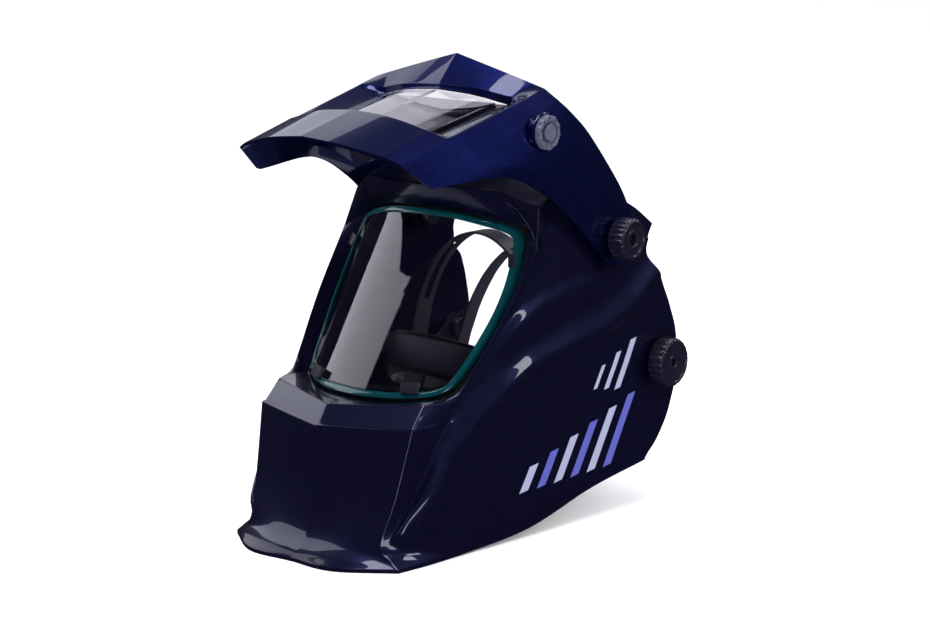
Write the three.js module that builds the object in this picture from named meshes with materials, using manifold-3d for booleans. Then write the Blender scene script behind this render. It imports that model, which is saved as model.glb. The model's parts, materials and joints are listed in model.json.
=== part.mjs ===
// Flip-front welding helmet with a clear grinding visor and a ratchet headgear.
// Units are millimetres, +Z is up, the face looks along -Y and +X is the wearer's left.
// The rest pose is the flip visor swung open and the helmet standing on its chin lip.
import * as THREE from 'three';
import { mergeVertices } from 'three/addons/utils/BufferGeometryUtils.js';
import Module from 'manifold-3d';

const wasm = await Module();
wasm.setup();

// Driving dimensions.
const ORIGIN_Y = 46.5;               // design y of the origin, under the middle of the bounding box
const WALL = 2.6;                    // moulded wall thickness of both shells
const GAP = 0.3;                     // clearance between touching pieces
const FLIP_PIVOT = [122, 224.5];     // y, z of the flip visor axis
const OPEN_ANGLE = 49.5;             // degrees between the closed and the open visor
const HEADGEAR_PIVOT = [178, 118];   // y, z of the headgear axis
const LENS_CENTRE = [-43, 198];      // y, z of the filter opening centre, visor closed
const LENS_LEAN = 28.9;              // degrees the filter leans back from vertical, visor closed
const FILTER = { width: 106, height: 86, depth: 6, rise: 2.4 };
const WINDOW = { foot: -66, lean: 0.62, bulge: 32, halfWidth: 80 };
const KNOB = { flipRadius: 17, flipDepth: 15, gearRadius: 20, gearDepth: 14, ribs: 22 };
const DIAL = { y: 1, z: 221, radius: 13.6, buttonRadius: 6.5 };
const CATCH = { x: 26, z: 123.6 };     // axis of the catch knob, visor closed

const NAVY = { color: 0x14143a, roughness: 0.16, metalness: 0.25 };
const BLUE = { color: 0x14206a, roughness: 0.14, metalness: 0.35 };
const BLACK = { color: 0x1a1728, roughness: 0.45, metalness: 0 };
const SOFT_BLACK = { color: 0x17161a, roughness: 0.9, metalness: 0 };
const STRAP = { color: 0x3a3644, roughness: 0.55, metalness: 0 };
const TEAL = { color: 0x0f6f78, roughness: 0.15, metalness: 0 };
const CLEAR = { color: 0xd9dde2, roughness: 0.05, metalness: 0 };
const GLASS = { color: 0x12202a, roughness: 0.05, metalness: 0.1 };
const GREY = { color: 0x6a6a80, roughness: 0.45, metalness: 0.1 };
const STEEL = { color: 0x9a9ca4, roughness: 0.3, metalness: 0.9 };

// ---------------------------------------------------------------- surfaces

// Outer surface of the base shell, right half: ribs from the centre line to the rear edge,
// each running from the chin lip up over the brow to the back of the crown.
const SHELL_RIBS = [
  [[0, -135.5, 3], [0, -125, 8.5], [0, -116.5, 20], [0, -110, 52], [0, -107, 99.3], [0, -102.5, 100.3],
    [0, -94, 113.5], [0, -64.5, 113.8], [0, -25, 180], [0, 21.2, 252], [0, 5, 271], [0, 40, 288],
    [0, 76, 295], [0, 112, 293], [0, 146, 286]],
  [[42, -135.5, 3], [41, -122.5, 8.5], [38, -114, 20], [39, -103.5, 52], [39, -96, 100.7], [39, -92, 101.5],
    [37.5, -81.5, 116], [40, -56.3, 114.2], [40, -17, 180], [40, 27.2, 248.8], [36, 11, 270],
    [36, 44, 285], [38, 78, 290], [38, 112, 288.5], [38, 144, 282]],
  [[84, -108, 3], [76, -108.5, 9], [67, -109, 18], [72, -97.5, 52], [78, -84.7, 102.4], [76.5, -82.5, 103],
    [75, -68, 118.5], [75.5, -32.5, 119.5], [87.3, 17.7, 185], [82, 46.3, 238.6], [68, 26, 268],
    [66, 52, 276], [68, 82, 278], [69, 114, 276], [68, 142, 272]],
  [[88, -80, 3.5], [82, -92, 9.5], [71, -104, 19], [76.5, -81, 52], [81.5, -51, 103], [82, -49, 105],
    [84.5, -44, 118], [87, -34, 132], [95.5, -1, 176], [99.5, 34, 224], [94, 44, 255], [90, 66, 264],
    [88, 92, 266], [86, 120, 265], [84, 146, 263]],
  [[90, -40, 4], [88, -58, 12], [84, -84, 28], [88, -72, 52], [92, -40, 86], [93, -34, 92], [95, -21, 104],
    [98, -6, 121], [102.5, 11, 164], [101, 48, 214], [98, 60, 240], [95, 80, 251], [94, 104, 254],
    [92, 128, 255], [90, 149, 256]],
  [[97, 30, 10], [97, 26, 18], [98, 22, 32], [100, 24, 56], [102, 34, 88], [102, 37, 94], [103, 41, 108],
    [104, 47, 126], [106, 60, 164], [104, 80, 204], [102, 92, 226], [100, 104, 237], [98, 122, 243],
    [97, 138, 247], [95, 154, 250]],
  [[104, 100, 29], [104.5, 99, 36], [105, 99, 48], [106, 101, 68], [107.5, 105, 92], [107.7, 106, 98],
    [108, 108, 110], [109, 112, 124], [109.5, 120, 154], [107, 130, 186], [105, 137, 206],
    [104, 144, 218], [103, 151, 227], [101, 160, 235], [99, 168, 241]],
  [[110, 164, 40.5], [110.5, 172, 46], [111, 181, 55], [111.5, 192, 71], [112, 200, 91], [112, 201, 97],
    [112, 202.5, 107], [112, 203.5, 119], [111.5, 202, 141], [109.5, 195, 164], [108, 188, 180],
    [107, 179, 193], [106, 172, 206], [104.5, 176, 218], [103, 184, 228]],
];
const SHELL_ROW_FOLDS = [0, 4, 5, 6, 7, 9, 10, 14];
const SHELL_RIB_FOLDS = [0, 2, 3, 7];
const SHELL_OPENING = { rows: [7, 9], ribs: 2 };

// Outer surface of the flip visor in its closed position, right half.
const VISOR_RIBS = [
  [[0, -105, 102.8], [0, -80, 155], [0, -64, 160], [0, -22, 236], [0, -24.5, 239], [0, -28, 269]],
  [[36, -99.5, 103.3], [36, -76.5, 154.3], [35, -60, 160.4], [35, -18, 236.4], [36, -21, 239.4],
    [38, -20.2, 263]],
  [[70, -88.5, 104.8], [70, -66.5, 152.8], [64, -51, 161.5], [64, -9, 237.5], [66, -13.5, 240],
    [73, -12.4, 257.6]],
  [[81.5, -81.5, 105.5], [83, -60.5, 151.5], [83.5, -56, 160], [85.5, -21, 232], [85.7, -18, 238],
    [86, -9.5, 255.5]],
  [[88.7, -50, 112], [91.5, -38, 150], [92.5, -34, 160], [94.5, -6, 230], [94, -3, 238], [92, 3, 256.5]],
  [[100, -4, 168], [102, 0, 183], [102, 3, 190], [100.6, 14, 232], [99.5, 15, 242], [96.5, 17, 258]],
  [[105, 44, 191], [106, 44, 203], [106.5, 44, 210], [105.5, 44, 236], [104, 44, 246], [101, 44, 260]],
  [[109, 96, 200], [109.3, 96, 208], [109.5, 96, 214], [109, 96, 235], [108, 96, 246], [106, 96, 257.5]],
  [[110, 128, 203], [110, 138, 210], [110, 143.5, 220], [109.8, 143, 232], [109.5, 137, 242],
    [108.5, 124, 251]],
];
const VISOR_ROW_FOLDS = [0, 1, 2, 3, 4, 5];
const VISOR_RIB_FOLDS = [0, 2, 3, 4, 8];
const VISOR_OPENING = { rows: [2, 3], ribs: 2 };

function hermite(a, b, ta, tb, t) {
  const t2 = t * t;
  const t3 = t2 * t;
  return (2 * t3 - 3 * t2 + 1) * a + (t3 - 2 * t2 + t) * ta + (3 * t2 - 2 * t3) * b + (t3 - t2) * tb;
}

function slopeAt(points, i, axis, folds, toward) {
  const n = points.length - 1;
  const fold = folds.includes(i) || i === 0 || i === n;
  if (fold && toward > 0) {
    return points[i + 1][axis] - points[i][axis];
  }
  if (fold) {
    return points[i][axis] - points[i - 1][axis];
  }
  return (points[i + 1][axis] - points[i - 1][axis]) / 2;
}

// Point at parameter s along a line of points that is smooth except at its folds.
function along(points, s, folds) {
  const i = Math.min(Math.floor(s), points.length - 2);
  const t = s - i;
  return [0, 1, 2].map((axis) => hermite(
    points[i][axis], points[i + 1][axis],
    slopeAt(points, i, axis, folds, 1), slopeAt(points, i + 1, axis, folds, -1), t));
}

function surfacePoint(ribs, rowFolds, ribFolds, row, rib) {
  const side = Math.abs(rib);
  const cross = ribs.map((points) => along(points, row, rowFolds));
  const p = along(cross, side, ribFolds);
  return new THREE.Vector3(rib < 0 ? -p[0] : p[0], p[1], p[2]);
}

// Distance from a point to a path in the side view, with the sign of the side it lies on.
function pathDistance(path, y, z) {
  let best = Infinity;
  let sign = 1;
  for (let i = 0; i < path.length - 1; i += 1) {
    const [ay, az] = path[i];
    const [by, bz] = path[i + 1];
    const dy = by - ay;
    const dz = bz - az;
    const t = Math.min(1, Math.max(0, ((y - ay) * dy + (z - az) * dz) / (dy * dy + dz * dz)));
    const d = Math.hypot(y - ay - t * dy, z - az - t * dz);
    if (d < best) {
      best = d;
      sign = dy * (z - az) - dz * (y - ay) >= 0 ? 1 : -1;
    }
  }
  return best * sign;
}

// Style lines on the side: the seat of the closed visor and the rounded crest below it.
const SEAT_LINE = [[-49, 112], [-33, 134], [-17, 152], [0, 167], [14, 178], [40, 188], [66, 193],
  [97, 198], [140, 206], [170, 216]];
const CREST_LINE = [[-84, 28], [-63, 78], [-35, 101], [-3, 123], [26, 138], [70, 149], [113, 157],
  [150, 171], [190, 196]];

function sideRelief(y, z) {
  const seat = pathDistance(SEAT_LINE, y, z);
  const crest = pathDistance(CREST_LINE, y, z);
  const step = -3.2 / (1 + Math.exp(-seat * 1.1));
  const ridge = 2.6 * Math.exp(-((crest / 9) ** 2));
  const valley = -2.2 * Math.exp(-(((crest - 19) / 11) ** 2)) * (seat < 0 ? 1 : Math.exp(-seat));
  return step + ridge + valley;
}

function shellRelief(p, rib) {
  const weight = Math.min(1, Math.max(0, (Math.abs(rib) - 3) / 0.7));
  const low = Math.min(1, Math.max(0, (p.z - 22) / 30));
  return weight * low * sideRelief(p.y, p.z);
}

// Closed wall built from a grid of outer points, offset inwards, with an optional opening.
function wall(rows, cols, point, skip, thickness, edgeDrop) {
  const outer = [];
  for (let i = 0; i <= rows; i += 1) {
    for (let j = 0; j <= cols; j += 1) {
      outer.push(point(i, j));
    }
  }
  const at = (i, j) => outer[i * (cols + 1) + j];
  const normals = gridNormals(rows, cols, at);
  const positions = [];
  outer.forEach((p) => positions.push(p.x, p.y, p.z));
  outer.forEach((p, k) => {
    const q = p.clone().addScaledVector(normals[k], -thickness);
    if (edgeDrop && k <= cols) {
      q.set(p.x, p.y, p.z - edgeDrop);
    } else if (edgeDrop && k <= 2 * cols + 1) {
      q.z = Math.min(q.z, outer[k - cols - 1].z - edgeDrop);
    }
    positions.push(q.x, q.y, q.z);
  });
  return gridBody(rows, cols, positions, skip);
}

function gridNormals(rows, cols, at) {
  const normals = [];
  for (let i = 0; i <= rows; i += 1) {
    for (let j = 0; j <= cols; j += 1) {
      const du = at(i, Math.min(cols, j + 1)).clone().sub(at(i, Math.max(0, j - 1)));
      const dv = at(Math.min(rows, i + 1), j).clone().sub(at(Math.max(0, i - 1), j));
      normals.push(du.cross(dv).normalize());
    }
  }
  return normals;
}

function gridBody(rows, cols, positions, skip) {
  const count = (rows + 1) * (cols + 1);
  const index = [];
  const id = (i, j) => i * (cols + 1) + j;
  const solid = (i, j) => i >= 0 && j >= 0 && i < rows && j < cols && !skip(i, j);
  const strip = (a, b) => index.push(a, b + count, b, a, a + count, b + count);
  for (let i = 0; i < rows; i += 1) {
    for (let j = 0; j < cols; j += 1) {
      if (solid(i, j)) {
        const [a, b, c, d] = [id(i, j), id(i, j + 1), id(i + 1, j + 1), id(i + 1, j)];
        index.push(a, b, c, a, c, d);
        index.push(a + count, c + count, b + count, a + count, d + count, c + count);
        if (!solid(i - 1, j)) strip(a, b);
        if (!solid(i + 1, j)) strip(c, d);
        if (!solid(i, j - 1)) strip(d, a);
        if (!solid(i, j + 1)) strip(b, c);
      }
    }
  }
  const geometry = new THREE.BufferGeometry();
  geometry.setAttribute('position', new THREE.Float32BufferAttribute(positions, 3));
  geometry.setIndex(index);
  return dropUnused(geometry);
}

// Leaves out the grid points that no triangle uses.
function dropUnused(geometry) {
  return mergeVertices(geometry.toNonIndexed(), 1e-4);
}

function baseShellWall() {
  const perRow = 2;
  const perRib = 2;
  const rowCount = SHELL_RIBS[0].length - 1;
  const ribCount = SHELL_RIBS.length - 1;
  const [low, high] = SHELL_OPENING.rows;
  const point = (i, j) => {
    const rib = j / perRib - ribCount;
    const p = surfacePoint(SHELL_RIBS, SHELL_ROW_FOLDS, SHELL_RIB_FOLDS, i / perRow, rib);
    p.x += Math.sign(rib) * shellRelief(p, rib);
    return p;
  };
  const skip = (i, j) => {
    const rib = Math.abs((j + 0.5) / perRib - ribCount);
    const row = (i + 0.5) / perRow;
    return row > low && row < high && rib < SHELL_OPENING.ribs;
  };
  return wall(rowCount * perRow, 2 * ribCount * perRib, point, skip, WALL, 3);
}

function visorWall() {
  const perRow = 2;
  const perRib = 2;
  const rowCount = VISOR_RIBS[0].length - 1;
  const ribCount = VISOR_RIBS.length - 1;
  const [low, high] = VISOR_OPENING.rows;
  const point = (i, j) => surfacePoint(
    VISOR_RIBS, VISOR_ROW_FOLDS, VISOR_RIB_FOLDS, i / perRow, j / perRib - ribCount);
  const skip = (i, j) => {
    const rib = Math.abs((j + 0.5) / perRib - ribCount);
    const row = (i + 0.5) / perRow;
    return row > low && row < high && rib < VISOR_OPENING.ribs;
  };
  return wall(rowCount * perRow, 2 * ribCount * perRib, point, skip, WALL, 0);
}

// ---------------------------------------------------------------- window

// Height-and-width outline of the clear visor, right half, from bottom centre to top centre.
const WINDOW_OUTLINE = [[0, 115.5], [30, 115.8], [52, 117.2], [64, 119.5], [71.5, 124], [76, 133], [81, 152],
  [85, 175], [86, 195], [84.5, 215], [82.5, 227], [79, 234.5], [72, 239.5], [55, 244.5], [30, 249],
  [0, 250.5]];

// Depth of the curved, back-leaning clear visor at a width and height.
function windowDepth(x, z) {
  return WINDOW.foot + WINDOW.lean * (z - 113) + WINDOW.bulge * (x / WINDOW.halfWidth) ** 2;
}

function windowLoop(inset) {
  const half = WINDOW_OUTLINE;
  const loop = half.concat(half.slice(1, -1).reverse().map(([x, z]) => [-x, z]));
  return loop.map(([x, z], k) => {
    const [px, pz] = loop[(k + loop.length - 1) % loop.length];
    const [nx, nz] = loop[(k + 1) % loop.length];
    const length = Math.hypot(nx - px, nz - pz);
    return [x - inset * (nz - pz) / length, z + inset * (nx - px) / length];
  });
}

// Closed ring of rectangular section that follows the window between two insets and depths.
function windowRing(outset, inset, front, back) {
  const outer = windowLoop(outset);
  const inner = windowLoop(inset);
  const positions = [];
  outer.forEach(([x, z], k) => {
    const [u, w] = inner[k];
    positions.push(x, windowDepth(x, z) + front, z);
    positions.push(u, windowDepth(u, w) + front, w);
    positions.push(u, windowDepth(u, w) + back, w);
    positions.push(x, windowDepth(x, z) + back, z);
  });
  return loopBody(positions, outer.length);
}

// Joins stations of four corners into a closed ring.
function loopBody(positions, stations) {
  const index = [];
  for (let k = 0; k < stations; k += 1) {
    const a = k * 4;
    const b = ((k + 1) % stations) * 4;
    for (let s = 0; s < 4; s += 1) {
      const t = (s + 1) % 4;
      index.push(a + s, b + t, a + t, a + s, b + s, b + t);
    }
  }
  const geometry = new THREE.BufferGeometry();
  geometry.setAttribute('position', new THREE.Float32BufferAttribute(positions, 3));
  geometry.setIndex(index);
  return outward(geometry);
}

// Curved plate that fills the window outline at an inset.
function windowPane(inset, front, back) {
  const loop = windowLoop(inset);
  const centre = [0, 182];
  const rings = [1, 0.72, 0.4];
  const positions = [];
  const side = (shift) => {
    rings.forEach((r) => loop.forEach(([x, z]) => {
      const u = x * r;
      const w = centre[1] + (z - centre[1]) * r;
      positions.push(u, windowDepth(u, w) + shift, w);
    }));
    positions.push(0, windowDepth(0, centre[1]) + shift, centre[1]);
  };
  side(front);
  side(back);
  const n = loop.length;
  const half = n * rings.length + 1;
  const index = [];
  for (let k = 0; k < n; k += 1) {
    const m = (k + 1) % n;
    for (let r = 0; r < rings.length - 1; r += 1) {
      const [a, b, c, d] = [r * n + k, r * n + m, (r + 1) * n + m, (r + 1) * n + k];
      index.push(a, b, c, a, c, d, a + half, c + half, b + half, a + half, d + half, c + half);
    }
    const last = (rings.length - 1) * n;
    index.push(last + k, last + m, half - 1, last + m + half, last + k + half, 2 * half - 1);
    index.push(k, m + half, m, k, k + half, m + half);
  }
  const geometry = new THREE.BufferGeometry();
  geometry.setAttribute('position', new THREE.Float32BufferAttribute(positions, 3));
  geometry.setIndex(index);
  return outward(geometry);
}

// ---------------------------------------------------------------- solids

function toManifold(geometry) {
  const g = geometry.clone();
  g.deleteAttribute('normal');
  g.deleteAttribute('uv');
  const m = mergeVertices(g, 1e-4);
  return new wasm.Manifold(new wasm.Mesh({
    numProp: 3,
    vertProperties: new Float32Array(m.attributes.position.array),
    triVerts: new Uint32Array(m.index.array),
  }));
}

function fromManifold(body) {
  const mesh = body.getMesh();
  const geometry = new THREE.BufferGeometry();
  geometry.setAttribute('position', new THREE.Float32BufferAttribute(mesh.vertProperties, 3));
  geometry.setIndex(Array.from(mesh.triVerts));
  return geometry;
}

function cut(geometry, ...tools) {
  let body = toManifold(geometry);
  tools.forEach((tool) => {
    body = body.subtract(toManifold(tool));
  });
  return fromManifold(body);
}

function join(...pieces) {
  let body = toManifold(pieces[0]);
  pieces.slice(1).forEach((piece) => {
    body = body.add(toManifold(piece));
  });
  return fromManifold(body);
}

function signedVolume(geometry) {
  const p = geometry.attributes.position;
  const idx = geometry.index.array;
  const [a, b, c] = [new THREE.Vector3(), new THREE.Vector3(), new THREE.Vector3()];
  let sum = 0;
  for (let k = 0; k < idx.length; k += 3) {
    a.fromBufferAttribute(p, idx[k]);
    b.fromBufferAttribute(p, idx[k + 1]);
    c.fromBufferAttribute(p, idx[k + 2]);
    sum += a.dot(b.cross(c));
  }
  return sum;
}

function outward(geometry) {
  if (signedVolume(geometry) < 0) {
    const idx = Array.from(geometry.index.array);
    for (let k = 0; k < idx.length; k += 3) {
      [idx[k + 1], idx[k + 2]] = [idx[k + 2], idx[k + 1]];
    }
    geometry.setIndex(idx);
  }
  return geometry;
}

function box(x, y, z, at = [0, 0, 0]) {
  const geometry = new THREE.BoxGeometry(x, y, z);
  geometry.translate(...at);
  return geometry;
}

// Cylinder whose axis lies along x, from x0 to x1.
function rod(radius, x0, x1, y, z, sides = 28) {
  const geometry = new THREE.CylinderGeometry(radius, radius, Math.abs(x1 - x0), sides);
  geometry.rotateZ(Math.PI / 2);
  geometry.translate((x0 + x1) / 2, y, z);
  return geometry;
}

// Cylinder whose axis lies along y, from y0 to y1.
function post(radius, y0, y1, x, z, sides = 28) {
  const geometry = new THREE.CylinderGeometry(radius, radius, Math.abs(y1 - y0), sides);
  geometry.translate(x, (y0 + y1) / 2, z);
  return geometry;
}

function ribbedOutline(radius, ribs) {
  const shape = new THREE.Shape();
  for (let k = 0; k < ribs * 2; k += 1) {
    const angle = (k / (ribs * 2)) * 2 * Math.PI;
    const r = k % 2 === 0 ? radius : radius - 1.1;
    if (k === 0) shape.moveTo(r, 0);
    else shape.lineTo(r * Math.cos(angle), r * Math.sin(angle));
  }
  shape.closePath();
  return shape;
}

// Ribbed hand knob with its axis on x, its foot at x = 0 and a dished face at x = depth.
function handKnob(radius, depth, ribs, socket) {
  const body = new THREE.ExtrudeGeometry(ribbedOutline(radius, ribs), { depth: depth - 1.5, bevelEnabled: false });
  body.rotateY(Math.PI / 2);
  const cap = new THREE.CylinderGeometry(radius - 1.6, radius - 1.3, 1.6, 32);
  cap.rotateZ(-Math.PI / 2);
  cap.translate(depth - 0.8, 0, 0);
  const dish = rod(radius - 4.2, depth - 1.4, depth + 1, 0, 0, 28);
  const hole = rod(socket, depth - 6, depth + 1, 0, 0, 16);
  return cut(join(body, cap), dish, hole);
}

function mirrored(geometry) {
  const g = geometry.clone();
  g.scale(-1, 1, 1);
  return outward(g.index ? g : mergeVertices(g, 1e-4));
}

// Places a piece drawn in the closed visor at its open, rest position.
function opened(geometry) {
  const turn = new THREE.Matrix4().makeRotationX(THREE.MathUtils.degToRad(-OPEN_ANGLE));
  geometry.translate(0, -FLIP_PIVOT[0], -FLIP_PIVOT[1]);
  geometry.applyMatrix4(turn);
  geometry.translate(0, FLIP_PIVOT[0], FLIP_PIVOT[1]);
  return geometry;
}

// Places a piece drawn flat (x across, y up the filter, z out of the visor) on the filter opening.
function onFilter(geometry) {
  geometry.rotateX(THREE.MathUtils.degToRad(90 - LENS_LEAN));
  geometry.translate(0, LENS_CENTRE[0], LENS_CENTRE[1]);
  return opened(geometry);
}

function frame(outerX, outerY, innerX, innerY, depth, z) {
  const { rise } = FILTER;
  return cut(box(outerX, outerY, depth, [0, rise, z]), box(innerX, innerY, depth + 2, [0, rise, z]));
}

// Band that follows a closed or open path of points, with a rectangular section.
function band(path, height, thickness, closed, lean = () => [0, 0, 1]) {
  const n = path.length;
  const positions = [];
  path.forEach((p, k) => {
    const before = path[closed ? (k + n - 1) % n : Math.max(0, k - 1)];
    const after = path[closed ? (k + 1) % n : Math.min(n - 1, k + 1)];
    const run = new THREE.Vector3(...after).sub(new THREE.Vector3(...before)).normalize();
    const up = new THREE.Vector3(...lean(k / (n - 1)));
    const out = run.clone().cross(up).normalize();
    const tall = out.clone().cross(run).normalize();
    const c = new THREE.Vector3(...p);
    [[-1, -1], [1, -1], [1, 1], [-1, 1]].forEach(([s, t]) => {
      const q = c.clone().addScaledVector(out, s * thickness / 2).addScaledVector(tall, t * height / 2);
      positions.push(q.x, q.y, q.z);
    });
  });
  if (closed) {
    return loopBody(positions, n);
  }
  return openBand(positions, n);
}

function openBand(positions, stations) {
  const index = [];
  for (let k = 0; k < stations - 1; k += 1) {
    const a = k * 4;
    const b = a + 4;
    for (let s = 0; s < 4; s += 1) {
      const t = (s + 1) % 4;
      index.push(a + s, b + t, a + t, a + s, b + s, b + t);
    }
  }
  const e = (stations - 1) * 4;
  index.push(0, 1, 2, 0, 2, 3, e, e + 2, e + 1, e, e + 3, e + 2);
  const geometry = new THREE.BufferGeometry();
  geometry.setAttribute('position', new THREE.Float32BufferAttribute(positions, 3));
  geometry.setIndex(index);
  return outward(geometry);
}

// ---------------------------------------------------------------- assembly

const part = new THREE.Group();
part.name = 'welding_helmet';

function add(name, geometry, look) {
  const clean = geometry.clone();
  clean.deleteAttribute('uv');
  clean.deleteAttribute('normal');
  const welded = mergeVertices(clean, 1e-4);
  welded.translate(0, -ORIGIN_Y, 0);
  welded.computeVertexNormals();
  const mesh = new THREE.Mesh(welded, new THREE.MeshStandardMaterial(look));
  mesh.name = name;
  part.add(mesh);
}

function addPair(name, geometry, look) {
  add(`${name}_left`, geometry, look);
  add(`${name}_right`, mirrored(geometry), look);
}

function addShell() {
  const [py, pz] = FLIP_PIVOT;
  const [hy, hz] = HEADGEAR_PIVOT;
  const boss = rod(15, 86, 104, py, pz, 28);
  const shell = join(baseShellWall(), boss, mirrored(boss));
  const bore = rod(5.6, -130, 130, py, pz, 24);
  const hole = rod(5.6, -130, 130, hy, hz, 20);
  add('base_shell', cut(shell, bore, hole), NAVY);
}

// Small block that lies on the window rim at a width and height.
function rimClip(x, z, width, height, depth) {
  const slopeX = 2 * WINDOW.bulge * x / WINDOW.halfWidth ** 2;
  const out = new THREE.Vector3(slopeX, -1, WINDOW.lean).normalize();
  const across = new THREE.Vector3(1, slopeX, 0).normalize();
  const up = out.clone().cross(across).normalize();
  const lift = 2.5 * -out.y + GAP + 0.2 + depth / 2;
  const centre = new THREE.Vector3(x, windowDepth(x, z), z).addScaledVector(out, lift);
  const block = new THREE.BoxGeometry(width, height, depth);
  block.applyMatrix4(new THREE.Matrix4().makeBasis(across, up, out).setPosition(centre));
  return block;
}

function addWindow() {
  add('visor_rim', windowRing(0.5, 4.6, -2.5, 4.9), TEAL);
  add('clear_visor', windowPane(4.9, -1, 1), CLEAR);
  add('window_gasket', windowRing(-1.2, 6.5, 5.4, 7.6), SOFT_BLACK);
  addPair('lower_clip', rimClip(46, 122.5, 14, 9, 4), BLACK);
  addPair('upper_clip', rimClip(80, 214, 6, 10, 3.5), BLACK);
}

function addVisorShell() {
  const boss = opened(rod(DIAL.radius + 1.2, 94, 101.9, DIAL.y, DIAL.z, 32));
  const shell = join(opened(visorWall()), boss);
  const bore = rod(5.6, -130, 130, ...FLIP_PIVOT, 24);
  const shaft = opened(rod(3.2, 80, 104, DIAL.y, DIAL.z, 20));
  add('flip_visor_shell', cut(shell, bore, shaft), BLUE);
}

// Curved cover lens that fills the opening of the flip visor with a small gap all round.
function coverLens() {
  const [low, high] = VISOR_OPENING.rows;
  const edge = VISOR_OPENING.ribs - 0.02;
  const point = (i, j) => surfacePoint(
    VISOR_RIBS, VISOR_ROW_FOLDS, VISOR_RIB_FOLDS,
    low + 0.01 + (high - low - 0.02) * i / 4, edge * (j / 8 - 1));
  return wall(4, 16, point, () => false, 1.8, 0);
}

function addFilter() {
  const { width, height, depth, rise } = FILTER;
  add('cover_lens', opened(coverLens()), GLASS);
  add('shade_filter', onFilter(box(width, height, depth, [0, rise, -13.1])), GLASS);
  add('cassette_frame', onFilter(frame(118, 96, width + 1, height + 1, 4.2, -14.8)), BLACK);
  add('filter_retainer', onFilter(frame(114, 90, 96, 56, 1.2, -17.8)), SOFT_BLACK);
  add('inner_cover_lens', onFilter(box(100, 60, 1, [0, 0, -19.2])), CLEAR);
  add('control_module', opened(box(7, 22, 24, [84, DIAL.y, DIAL.z])), BLACK);
  const { x, z } = CATCH;
  const tiers = join(post(4, -86.8, -79, x, z, 16), post(8, -80, -74.5, x, z, 28), post(6.8, -75, -64, x, z, 28));
  add('catch_knob', opened(tiers), BLACK);
  add('catch_bracket', opened(box(14, 11, 9, [47, -74.2, 124])), BLACK);
}

function addDial() {
  const { y, z, radius, buttonRadius } = DIAL;
  const ring = new THREE.ExtrudeGeometry(ribbedOutline(radius, 10), { depth: 4.6, bevelEnabled: false });
  ring.rotateY(Math.PI / 2);
  ring.translate(102.3, y, z);
  const bore = rod(buttonRadius + 0.4, 100, 110, y, z, 28);
  const dish = rod(radius - 4.4, 105, 110, y, z, 28);
  add('shade_dial', opened(cut(ring, dish, bore)), GREY);
  add('dial_button', opened(join(rod(buttonRadius, 104, 107.8, y, z, 28), rod(2.8, 92, 105, y, z, 16))), GREY);
}

function addPivots() {
  const [py, pz] = FLIP_PIVOT;
  const [hy, hz] = HEADGEAR_PIVOT;
  const washer = (r, x0, x1, y, z) => cut(rod(r, x0, x1, y, z, 24), rod(5.6, x0 - 1, x1 + 1, y, z, 20));
  addPair('flip_washer', washer(13, 104.4, 106.2, py, pz), SOFT_BLACK);
  addPair('flip_bolt', join(rod(8.5, 80, 85.6, py, pz, 24), rod(5.2, 85, 112.2, py, pz, 24)), STEEL);
  const flip = handKnob(KNOB.flipRadius, KNOB.flipDepth, KNOB.ribs, 4.5);
  flip.translate(112.6, py, pz);
  addPair('flip_knob', flip, BLACK);
  addPair('gear_washer', washer(12, 105.9, 107.6, hy, hz), SOFT_BLACK);
  addPair('gear_bolt', join(rod(8.5, 97, 102.6, hy, hz, 24), rod(5.2, 102, 114.6, hy, hz, 24)), STEEL);
  const gear = handKnob(KNOB.gearRadius, KNOB.gearDepth, KNOB.ribs, 3.2);
  gear.translate(115, hy, hz);
  addPair('gear_knob', gear, BLACK);
}

// Head loop of the headgear: an ellipse that falls towards the nape.
function headLoop(from, to, steps, inset) {
  const path = [];
  for (let k = 0; k <= steps; k += 1) {
    const a = THREE.MathUtils.degToRad(from + (to - from) * k / steps);
    const y = 105 - (100 - inset) * Math.cos(a);
    path.push([(78 - inset) * Math.sin(a), y, 138 - (y - 5) * 0.5]);
  }
  return path;
}

function arch(halfWidth, y, lean, foot, rise, steps) {
  const path = [];
  for (let k = 0; k <= steps; k += 1) {
    const a = Math.PI * k / steps;
    path.push([halfWidth * Math.cos(a), y + lean * Math.sin(a), foot + rise * Math.sin(a)]);
  }
  return path;
}

function archBand(path, width, thickness) {
  return band(path, width, thickness, false, () => [0, 1, 0]);
}

function addHeadgear() {
  add('front_headband', band(headLoop(-92, 92, 30, 0), 26, 2.2, false), STRAP);
  add('sweatband', band(headLoop(-58, 58, 24, 5.2), 34, 6, false), SOFT_BLACK);
  const strap = archBand(arch(72.5, 92, 0, 98, 124, 24), 20, 2);
  const slot = box(46, 7, 16);
  slot.rotateY(THREE.MathUtils.degToRad(62));
  slot.translate(49, 92, 193);
  add('crown_strap_front', cut(strap, slot, mirrored(slot)), STRAP);
  const arm = band([[104.4, 192, 124], [104.4, 170, 115], [101, 150, 107], [90, 126, 97], [82.5, 108, 89],
    [81.2, 88, 81]], 18, 2.4, false);
  addPair('side_arm', cut(arm, rod(5.6, 90, 120, ...HEADGEAR_PIVOT, 24)), BLACK);
  addPair('temple_pad', band(headLoop(61, 72, 5, 3), 20, 3, false), SOFT_BLACK);
}

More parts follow.
